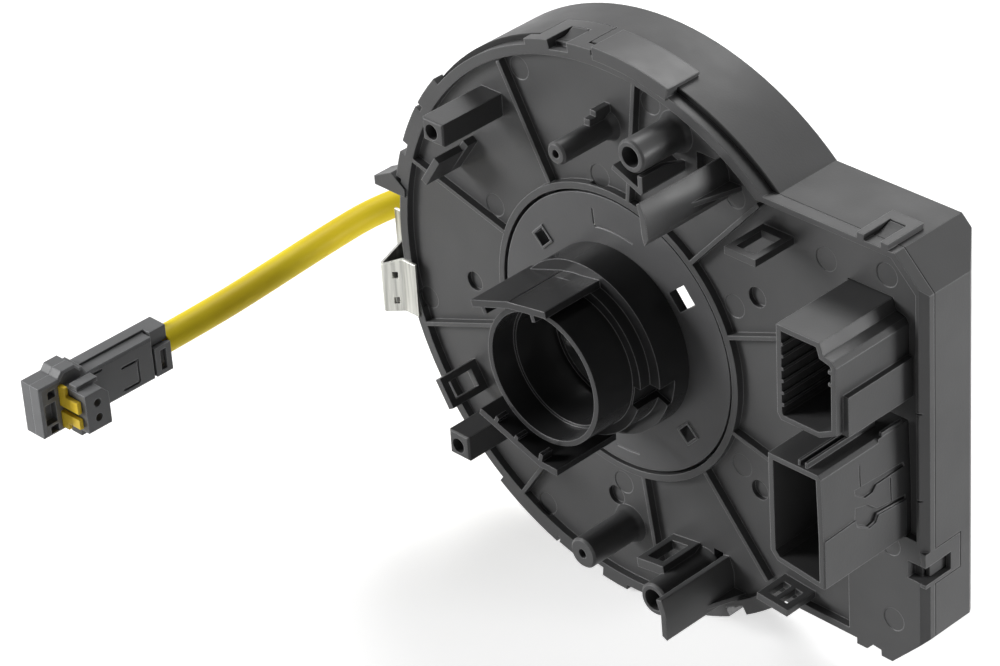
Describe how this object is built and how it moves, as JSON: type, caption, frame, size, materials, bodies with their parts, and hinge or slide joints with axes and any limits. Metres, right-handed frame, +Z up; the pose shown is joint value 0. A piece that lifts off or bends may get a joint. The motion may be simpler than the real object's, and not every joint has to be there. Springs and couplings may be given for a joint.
{
  "type": "steering clock spring",
  "caption": "Clock spring that carries the circuits between a steering column and wheel: round housing with a ribbed plate, two column sockets, a turning rotor and a yellow lead.",
  "frame": {"origin": "on the rotor axis, in the front plane of the column plate's rim", "axes": "+Y along the rotor axis toward the steering wheel, +Z up, +X toward the connector box"},
  "size_m": [0.159, 0.1134, 0.1109],
  "materials": {
    "plate_plastic": "fine satin moulded black, pale at the edges",
    "shell_plastic": "satin moulded black",
    "socket_plastic": "satin moulded black",
    "carrier_plastic": "plain moulded dark grey",
    "rotor_plastic": "smooth moulded black",
    "drum_plastic": "smooth moulded black",
    "sleeve_plastic": "gloss black",
    "relief_rubber": "matt black rubber",
    "lead_sheath": "smooth yellow sheath",
    "lock_plastic": "smooth yellow",
    "squib_plastic": "satin dark grey",
    "spring_steel": "bright rolled sheet",
    "tinned_contact": "bright tin plate",
    "gilt_contact": "gilt plate",
    "busbar_brass": "stamped brass",
    "ribbon_film": "clear film over flat conductors",
    "slip_film": "dark low friction film"
  },
  "bodies": {
    "housing": {"column_plate": "plate_plastic", "outer_shell": "shell_plastic", "upper_connector_housing": "socket_plastic", "lower_connector_housing": "socket_plastic", "upper_connector_pins": "tinned_contact", "lower_connector_pins": "tinned_contact", "terminal_carrier": "carrier_plastic", "busbar_set": "busbar_brass", "ribbon_cable": "ribbon_film", "front_slip_sheet": "slip_film", "rear_slip_sheet": "slip_film", "retaining_clip": "spring_steel"},
    "rotor": {"rotor_disc": "rotor_plastic", "winding_drum": "drum_plastic", "cancel_cam_sleeve": "sleeve_plastic", "wheel_connector_housing": "socket_plastic", "wheel_connector_pins": "tinned_contact", "drive_bosses": "drum_plastic", "lead_strain_relief": "relief_rubber", "squib_lead": "lead_sheath", "squib_connector_base": "squib_plastic", "squib_connector_cover": "squib_plastic", "squib_end_clip": "squib_plastic", "squib_nose": "squib_plastic", "squib_contacts": "gilt_contact"},
    "lead_lock": {"squib_lock": "lock_plastic"}
  },
  "joints": [
    {"name": "rotor_spin", "type": "hinge", "parent": "housing", "child": "rotor", "pos_m": [0, 0, 0], "axis": [0, 1, 0], "range_deg": [-900, 900]},
    {"name": "lead_lock_slide", "type": "slide", "parent": "rotor", "child": "lead_lock", "axis": [1, 0, 0], "range_m": [0, 0.0015]}
  ]
}
